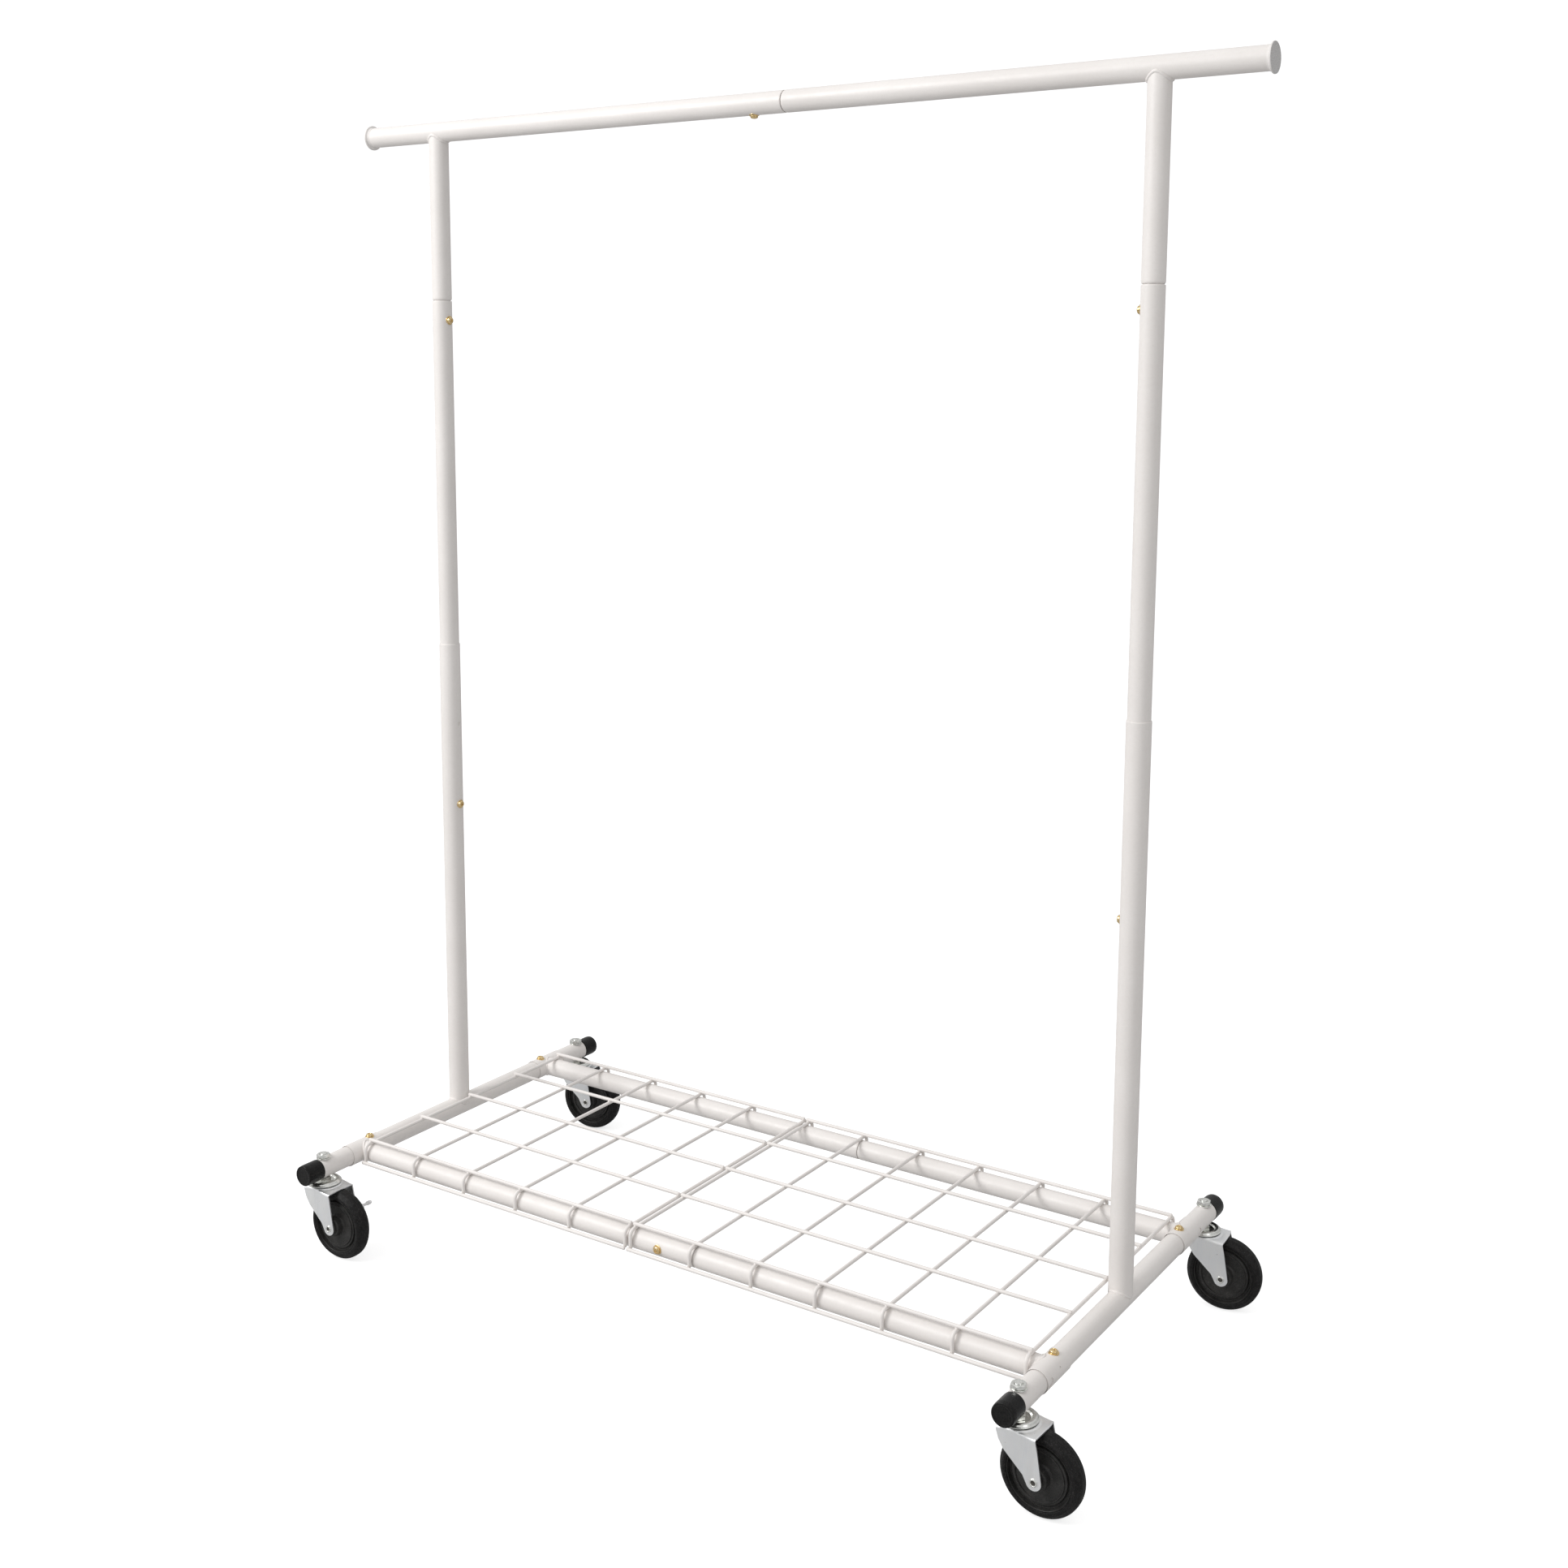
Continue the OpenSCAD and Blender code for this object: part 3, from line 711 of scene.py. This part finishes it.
def make_bar_caps():
    """Moulded plugs in the ends of the hanging bar"""
    low, high = box_of("rail_end_caps")
    outer = (high.z - low.z) / 2
    face, plug = 0.0055, 0.0195
    bore = TUBE_R - 0.0011
    wall = TUBE_R + 0.00005
    inside = bore - 0.0024
    section = fillet([
        (0, 0.0003, 0), (outer - 0.0024, 0.0003, 0.0006), (outer - 0.0014, 0, 0.0005),
        (outer, 0.0003, 0.0010), (outer, 0.0022, 0.0007), (TUBE_R + 0.0008, 0.0040, 0.0014),
        (TUBE_R + 0.0003, 0.0062, 0.0004), (wall, 0.0062, 0), (wall, face, 0),
        (bore, face, 0), (bore, plug, 0.001),
        (inside, plug, 0.001), (inside, face - 0.001, 0), (0, face - 0.001, 0),
    ], closed=False)
    plugs = Shape()
    for side in (-1, 1):
        place = Matrix.Translation((side * high.x, 0, BAR_Z))
        plugs.add(lathe(section, closed=False), place @ Matrix.Rotation(-side * math.pi / 2, 4, "Y"))
    make_piece("caps_bar", plugs, "hanging_frame", WHITE, ["rail_end_caps"])


# ---------------------------------------------------------------- screws


WASHER_R = 0.0065


def screw_head(radius=0.005, height=0.0032, rise=0.001):
    """A domed head with a cross recess, pressed down over a flange"""
    rings, steps = 22, 64
    arm, width, depth = 0.0026, 0.00055, 0.0016
    rows = []
    for i in range(rings + 1):
        r = radius * i / rings
        row = []
        for k in range(steps + 1):
            a = math.tau * k / steps
            x, y = r * math.cos(a), r * math.sin(a)
            crown = math.sqrt(max(1 - (r / radius) ** 2.4, 0))
            dome = rise + height * 0.30 + height * 0.70 * crown
            near, far = sorted((abs(x), abs(y)))
            across = smooth_step((width + 0.0002 - near) / 0.0003)
            inside = across * smooth_step((arm - far) / 0.0006)
            row.append((x, y, dome - depth * inside * (1 - 0.6 * far / arm)))
        rows.append(row)
    underside = rise * 0.4
    rows.append(ring(radius, underside, steps))
    rows.append(ring(0, underside, steps))
    return grid(rows)


def smooth_step(t):
    """0 up to t = 0, 1 from t = 1, and smooth between"""
    t = min(max(t, 0), 1)
    return t * t * (3 - 2 * t)


def saddle_washer(tube, inner=0.0026, thick=0.001):
    """A flange that follows the tube, which runs along x under it"""
    section = fillet([
        (inner, 0, 0.0002), (WASHER_R, 0, 0.0003), (WASHER_R, thick, 0.0004), (inner, thick, 0.0002),
    ])
    verts, faces = lathe(section, 56)
    bent = [(x, y, z + math.sqrt(tube**2 - y**2) - tube) for x, y, z in verts]
    return bent, faces


def screw_at(shape, place, outward, along, tube, turn, shank=0.0085):
    """Adds a screw at a point of a tube's surface. outward is the surface's normal."""
    z = Vector(outward)
    x = Vector(along)
    matrix = Matrix((x, z.cross(x), z)).transposed().to_4x4()
    matrix.translation = Vector(place)
    shape.add(saddle_washer(tube), matrix)
    shape.add(screw_head(), matrix @ Matrix.Rotation(turn, 4, "Z"))
    thick, point = 0.0025, 0.0018
    section = fillet([(0, -shank, 0), (point, -shank, 0), (thick, 0.001 - shank, 0.0003),
                      (thick, 0.0005, 0), (0, 0.0005, 0)], closed=False)
    shape.add(lathe(section, 24, closed=False), matrix)


def make_screws():
    """The screws of the sleeves and rails, of the posts and bar, and the two locking screws"""
    base, lifted, locking = Shape(), Shape(), Shape()
    sleeve_y = 0.191
    upper_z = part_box("frame_screws")[0][2] + WASHER_R
    lock_z = centre_of("locking_screws").z
    for side in (-1, 1):
        for end in (-1, 1):
            screw_at(base, (side * POST_X, end * sleeve_y, TUBE_Z + SLEEVE_R), (0, 0, 1), (0, 1, 0),
                     SLEEVE_R, 0.4 + side + 0.7 * end)
        screw_at(lifted, (side * (POST_X - TUBE_R), 0, upper_z), (-side, 0, 0), (0, 0, 1),
                 TUBE_R, 0.9 * side)
        screw_at(locking, (side * (POST_X - SLEEVE_R), 0, lock_z), (-side, 0, 0), (0, 0, 1),
                 SLEEVE_R, 0.3, shank=0.0011)
    for end in (-1, 1):
        screw_at(base, (0, end * (RAIL_Y + TUBE_R), TUBE_Z), (0, end, 0), (1, 0, 0), TUBE_R, 0.2)
    screw_at(lifted, (0, 0, BAR_Z - TUBE_R), (0, 0, -1), (1, 0, 0), TUBE_R, 0.5)
    make_piece("screws_base", base, "base", BRASS, ["base_screws"])
    make_piece("screws_locking", locking, "base", BRASS, ["locking_screws"])
    make_piece("screws_frame", lifted, "hanging_frame", BRASS, ["frame_screws"])


# ---------------------------------------------------------------- stems


def hex_nut(low, high, bore, flats=0.017, steps=96):
    """A hexagon nut whose corners are turned off at both ends"""
    face_r = 0.93 * flats / 2
    slope = math.tan(math.radians(30))
    rows = []
    for i in range(steps + 1):
        a = math.tau * i / steps
        corner = flats / 2 / math.cos((a + math.pi / 6) % (math.pi / 3) - math.pi / 6)
        fall = (corner - face_r) * slope
        rows.append([(r * math.cos(a), r * math.sin(a), z) for r, z in [
            (bore, low), (face_r, low), (corner, low + fall), (corner, (low + high) / 2),
            (corner, high - fall), (face_r, high), (bore + 0.0010, high),
            (bore + 0.0002, high - 0.0006), (bore, high - 0.0012), (bore, low),
        ]])
    return grid(rows)


def thread(low, high, radius, pitch=0.00125, steps=36):
    """A threaded rod with a rounded, ringed end on top"""
    depth, chamfer = 0.00038, 0.0006
    count = 8 * round((high - low) / pitch)
    rows = []
    for k in range(count + 1):
        z = low + (high - low) * k / count
        ease = smooth_step((high - z) / 0.0012)
        row = []
        for i in range(steps + 1):
            turn = z / pitch - i / steps
            groove = depth * ease * (0.5 + 0.5 * math.cos(math.tau * turn))
            r = radius - chamfer * (1 - ease) - groove
            row.append((r * math.cos(math.tau * i / steps), r * math.sin(math.tau * i / steps), z))
        rows.append(row)
    rings_on_end = ((0.0038, 0.0003), (0.0030, 0.00035), (0.0027, 0.00018), (0.0019, 0.00022),
                    (0.0016, 0.0004), (0.0007, 0.00045), (0, 0.00045))
    rows += [ring(r, high + rise, steps) for r, rise in rings_on_end]
    rows.insert(0, ring(0, low, steps))
    return grid(rows)


def make_stems():
    """The threaded stems that hold the casters, with their washers and nuts"""
    washer_low = TUBE_Z + TUBE_R
    nut_low, nut_high = (corner[2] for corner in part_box("stem_top_nuts"))
    jam_low, jam_high = (corner[2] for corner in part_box("stem_jam_nuts"))
    stem_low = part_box("caster_stems")[0][2]
    rod = 0.005
    washer_bore, washer_r, washer_top = rod + 0.0003, 0.0100, nut_low - 0.00005
    foot_top, neck_top = stem_low + 0.0016, jam_low + 0.002
    top_turn = Matrix.Rotation(math.radians(12), 4, "Z")
    jam_turn = Matrix.Rotation(math.radians(20), 4, "Z")
    washer = fillet([
        (washer_bore, washer_low, 0.0002), (washer_r, washer_low, 0.0003),
        (washer_r, washer_top, 0.0005), (washer_bore, washer_top, 0.0002),
    ])
    foot = fillet([
        (0, stem_low, 0), (0.0080, stem_low, 0.0006), (0.0090, stem_low + 0.0008, 0.0005),
        (0.0088, foot_top, 0.0003), (rod, foot_top, 0), (rod, neck_top, 0), (0, neck_top, 0),
    ], closed=False)
    washers, top_nuts, jam_nuts, stems = Shape(), Shape(), Shape(), Shape()
    for name in CORNERS.values():
        x, y, _ = joints["swivel_" + name]["pos_m"]
        place = Matrix.Translation((x, y, 0))
        washers.add(lathe(washer, 64), place)
        top_nuts.add(hex_nut(nut_low, nut_high, rod), place @ top_turn)
        jam_nuts.add(hex_nut(jam_low, jam_high, rod), place @ jam_turn)
        stems.add(lathe(foot, 48, closed=False), place)
        stems.add(thread(jam_low + 0.0015, nut_high + 0.0011, rod - 0.00002), place)
    for name, shape, node in (("stem_washers_turned", washers, "stem_washers"),
                              ("stem_nuts_top", top_nuts, "stem_top_nuts"),
                              ("stem_nuts_lower", jam_nuts, "stem_jam_nuts"),
                              ("stem_threads", stems, "caster_stems")):
        make_piece(name, shape, "base", TURNED, [node], crease=28)


# ---------------------------------------------------------------- casters


def swivel_frame(corner):
    """A caster's own frame: the swivel axis is z and the wheel trails along x"""
    swivel = joints["swivel_" + CORNERS[corner]]["pos_m"]
    axle = joints["roll_" + CORNERS[corner]]["pos_m"]
    yaw = math.atan2(axle[1] - swivel[1], axle[0] - swivel[0])
    return Matrix.Translation((swivel[0], swivel[1], 0)) @ Matrix.Rotation(yaw, 4, "Z")


SWIVEL = joints["swivel_front_left"]["pos_m"]
AXLE = joints["roll_front_left"]["pos_m"]
TRAIL = AXLE[0] - SWIVEL[0]
AXLE_Z = AXLE[2]
WHEEL_R = size_of("tyre_fl").z / 2
CROWN_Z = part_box("fork_fl")[1][2]
FORK_HALF = size_of("fork_fl").y / 2
TIP_R = 0.0095
CROWN_R = 0.025
FLARE = 0.0015
RIVET_BORE = 0.0028


def axle_frame(corner):
    """A caster's frame moved to its axle, which lies along y"""
    return swivel_frame(corner) @ Matrix.Translation((TRAIL, 0, AXLE_Z))


def between(value, points):
    """Straight-line interpolation through rising (x, y) points"""
    if value <= points[0][0]:
        return points[0][1]
    for (x0, y0), (x1, y1) in zip(points, points[1:]):
        if value <= x1:
            return y0 + (y1 - y0) * (value - x0) / (x1 - x0)
    return points[-1][1]


def leg_span(z):
    """How far back and forward a fork leg reaches at height z"""
    hood = 0.033
    tip_rise, tip_x = -0.0062, TRAIL - 0.0072  # where the tip's arc turns into the back edge
    knee_rise, knee_x = 0.0055, 0.0185  # where the back edge bends
    rise = z - AXLE_Z
    arc = math.sqrt(max(TIP_R**2 - rise**2, 0))
    back = between(z, [
        (AXLE_Z + tip_rise, tip_x), (AXLE_Z + knee_rise, knee_x), (AXLE_Z + 0.0285, -0.0060),
        (AXLE_Z + 0.0385, -0.0120), (AXLE_Z + 0.0485, -0.0150), (CROWN_Z, -0.0158),
    ])
    if rise < tip_rise:
        back = TRAIL - arc
    front = between(z, [(AXLE_Z, TRAIL + TIP_R), (CROWN_Z - 0.003, hood)])
    if rise < 0:
        front = TRAIL + arc
    return back, front


def fork_rows():
    """Rows of points over the pressed sheet, from one leg's tip over the crown to the other's"""
    bend, columns = 0.0028, 56
    lip = 0.0026  # how far the crown's front edge bulges forward
    drop_height = 0.020  # the legs take up the crown's shape over this height
    tip = [(FORK_HALF, AXLE_Z - TIP_R * math.cos(math.pi / 2 * k / 8)) for k in range(9)]
    leg = [(FORK_HALF, AXLE_Z + (CROWN_Z - bend - AXLE_Z) * k / 28) for k in range(1, 29)]
    side = tip + leg
    for k in range(1, 8):
        a = math.pi / 2 * k / 7
        side.append((FORK_HALF - bend + bend * math.cos(a), CROWN_Z - bend + bend * math.sin(a)))
    flat = FORK_HALF - bend
    top = [(flat - 2 * flat * k / 44, CROWN_Z) for k in range(1, 44)]
    stations = side + top + [(-y, z) for y, z in reversed(side)]
    rows = []
    for y, z in stations:
        back, front = leg_span(z)
        on_top = smooth_step((z - (CROWN_Z - bend)) / bend)
        round_back = -math.sqrt(max(CROWN_R**2 - min(abs(y), flat + 0.001) ** 2, 0))
        back = back + (round_back - back) * on_top
        front = front + lip * (1 - (y / FORK_HALF) ** 2) * on_top
        blend = smooth_step((z - (CROWN_Z - drop_height)) / drop_height)
        row = []
        for k in range(columns + 1):
            x = back + (front - back) * k / columns
            row.append((x, y, z - crown_drop(x, y) * blend))
        rows.append(row)
    return rows


def crown_drop(x, y):
    """How far the crown lies below its round boss, which carries the race"""
    boss_r, slope, step = 0.0247, 0.0016, 0.0013
    flap_x, flap_length, fall, droop = 0.012, 0.020, 0.0002, 0.0022
    outside = smooth_step((math.hypot(x, y) - boss_r) / slope)
    forward = smooth_step((x - flap_x) / flap_length)
    return step * outside + forward * (fall + droop * (y / FORK_HALF) ** 2)


def race_section():
    """The dished plate over the ball track, as pressed and rolled over its rim"""
    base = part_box("upper_races")[0][2]
    return [(r, base + h) for r, h in fillet([
        (0.0051, 0, 0), (0.0136, 0, 0.001), (0.0158, 0.0004, 0.001), (0.0168, 0.003, 0.001),
        (0.018, 0.0038, 0.001), (0.020, 0.0038, 0.001), (0.021, 0.0031, 0.001),
        (0.0226, 0.0014, 0.001), (0.0245, 0.0009, 0.0004), (0.0245, 0.0019, 0.0004),
        (0.0232, 0.0025, 0.001), (0.022, 0.0042, 0.0012), (0.0206, 0.005, 0.0012),
        (0.0176, 0.005, 0.0012), (0.0164, 0.0042, 0.001), (0.015, 0.0017, 0.001),
        (0.013, 0.0012, 0.001), (0.0051, 0.0012, 0),
    ], steps=4)]


def tyre_section():
    """A tread with rounded shoulders and the mould's seam round its middle"""
    half = size_of("tyre_fl").y / 2
    inner = size_of("core_fl").z / 2 + 0.00005
    seam = 0.00018
    one_side = [
        (WHEEL_R, 0.0002, 0.0001), (WHEEL_R - seam, 0.0005, 0.0002),
        (WHEEL_R - seam, half - 0.0066, 0.0058), (WHEEL_R - 0.0062, half, 0.003),
        (inner + 0.0030, half, 0.0008), (inner + 0.0008, half - 0.0004, 0.0006),
        (inner, half - 0.0016, 0.0003),
    ]
    other = [(r, -h, f) for r, h, f in reversed(one_side)]
    return fillet(other + one_side, steps=8)


def core_section():
    """The hub, a web with a raised ring, a groove and the rim that carries the tyre"""
    rim = size_of("core_fl").z / 2
    hub, web, ridge, groove = 0.019, 0.0080, 0.0096, 0.0045
    one_side = [
        (0.00606, hub, 0.0003), (0.0126, hub, 0.001), (0.0135, hub - 0.002, 0.0008),
        (0.0141, ridge, 0.001), (0.0166, web, 0.0012), (0.0289, web, 0.0004),
        (0.0295, ridge, 0.0003), (0.0305, ridge, 0.0003), (0.0311, web, 0.0004),
        (0.0337, web, 0.0008), (0.0346, groove, 0.0008), (0.0378, groove, 0.0008),
        (0.0387, 0.0103, 0.0004), (0.0393, 0.0108, 0.0003), (rim, 0.0102, 0.0003),
    ]
    other = [(r, -h, f) for r, h, f in reversed(one_side)]
    return fillet(one_side + other, steps=5)


def axle_section(reach):
    """Half of a hollow rivet from its middle outwards: reach is where its flared head starts"""
    return fillet([
        (0, 0, 0), (0.004, 0, 0), (0.004, reach - 0.0002, 0.0002), (0.0050, reach + 0.0001, 0.0003),
        (0.0049, reach + 0.0009, 0.0005), (0.0038, reach + FLARE, 0.0006),
        (0.0032, reach + 0.0012, 0.0003), (RIVET_BORE, reach + 0.0007, 0.0003),
        (RIVET_BORE, reach + 0.0003, 0), (0, reach + 0.0003, 0),
    ], closed=False, steps=4)


def paint_bore_shade(rivet, axle):
    """Gives the faces inside a rivet's hollow the dark metal of the painted shade"""
    rivet.data.materials.append(BORE)
    to_axle = axle.inverted()
    for face in rivet.data.polygons:
        if (to_axle @ face.center).to_2d().length < RIVET_BORE + 0.00008:
            face.material_index = 1


def thicken(piece, thickness, offset, even, rounding):
    """Gives a surface the thickness of its sheet and rounds the sheet's edges"""
    solid = piece.modifiers.new("sheet", "SOLIDIFY")
    solid.thickness = thickness
    solid.offset = offset
    solid.use_even_offset = even
    edge = piece.modifiers.new("edge", "BEVEL")
    edge.width = rounding
    edge.segments = 2
    edge.limit_method = "ANGLE"
    edge.angle_limit = math.radians(50)


def make_casters():
    """Each caster's fork and rivet, which swivel, its wheel, which rolls, and the fixed races"""
    races = Shape()
    turned_over = Matrix.Rotation(math.pi, 4, "X")
    brake_side = box_of("axle_fl")[1].y - AXLE[1] - FLARE
    for corner, long_name in CORNERS.items():
        place = swivel_frame(corner)
        axle = axle_frame(corner) @ Matrix.Rotation(-math.pi / 2, 4, "X")
        carrier, wheel = "caster_" + long_name, "wheel_" + long_name
        races.add(lathe(race_section(), 96), place)

        fork = make_piece("caster_fork_" + corner, Shape().add(grid(fork_rows()), place), carrier,
                          SHEET, ["fork_" + corner], crease=50)
        thicken(fork, thickness=0.0018, offset=-1, even=True, rounding=0.00035)

        tyre = Shape().add(lathe(tyre_section(), 160), axle)
        make_piece("caster_tyre_" + corner, tyre, wheel, TREAD, ["tyre_" + corner])
        core = Shape().add(lathe(core_section(), 144), axle)
        make_piece("caster_core_" + corner, core, wheel, CORE, ["core_" + corner])

        far = brake_side if corner == "fl" else FORK_HALF
        halves = Shape().add(lathe(axle_section(far), 48, closed=False), axle)
        halves.add(lathe(axle_section(FORK_HALF), 48, closed=False), axle @ turned_over)
        rivet = make_piece("caster_rivet_" + corner, halves, carrier, TURNED,
                           ["axle_" + corner])
        paint_bore_shade(rivet, axle)
    make_piece("caster_races", races, "base", TURNED, ["upper_races"])


def make_brake():
    """A bent strip that turns on the rivet. Its pedal is folded out, rounded off and dished."""
    rise = math.radians(51)
    eye_r, reach, out = 0.0088, 0.0255, 0.0195
    arm, neck, pedal = 0.0055, 0.0019, 0.0030  # half widths
    nose = 1.6 * pedal
    dish = 0.0009
    plate_y = FORK_HALF + 0.00115
    bend = 0.003
    line = [(-eye_r + (reach - bend + eye_r) * k / 26, plate_y) for k in range(27)]
    line += [(reach - bend + bend * math.sin(math.pi / 2 * k / 6),
              plate_y + bend - bend * math.cos(math.pi / 2 * k / 6)) for k in range(1, 7)]
    line += [(reach, plate_y + bend + (out - bend) * k / 30) for k in range(1, 31)]
    rows = []
    for x, y in line:
        away = y - plate_y
        to_end = out - away
        if x < 0:
            half = math.sqrt(max(eye_r**2 - x**2, 1e-8))
        else:
            half = between(x, [(0, eye_r), (0.012, arm)])
        half += (neck - half) * smooth_step((away - 0.0003) / 0.004)
        half += (pedal - half) * smooth_step((away - 0.0075) / 0.004)
        if to_end < nose:
            half = pedal * math.sqrt(max(1 - (1 - to_end / nose) ** 2, 1e-6))
        row = []
        for k in range(17):
            z = half * (2 * k / 16 - 1)
            oval = 1 - ((away - 0.70 * out) / (0.24 * out)) ** 2 - (z / (0.66 * pedal)) ** 2
            row.append((x - dish * smooth_step(oval * 2.2), y, z))
        rows.append(row)
    place = axle_frame("fl") @ Matrix.Rotation(-rise, 4, "Y")
    brake = make_piece("caster_brake", Shape().add(grid(rows), place), "brake", SHEET,
                       ["brake_lever_fl"], crease=60)
    thicken(brake, thickness=0.0015, offset=0, even=False, rounding=0.0004)


repaint()
make_welds()
make_shelf()
make_tube_caps()
make_bar_caps()
make_screws()
make_stems()
make_casters()
make_brake()
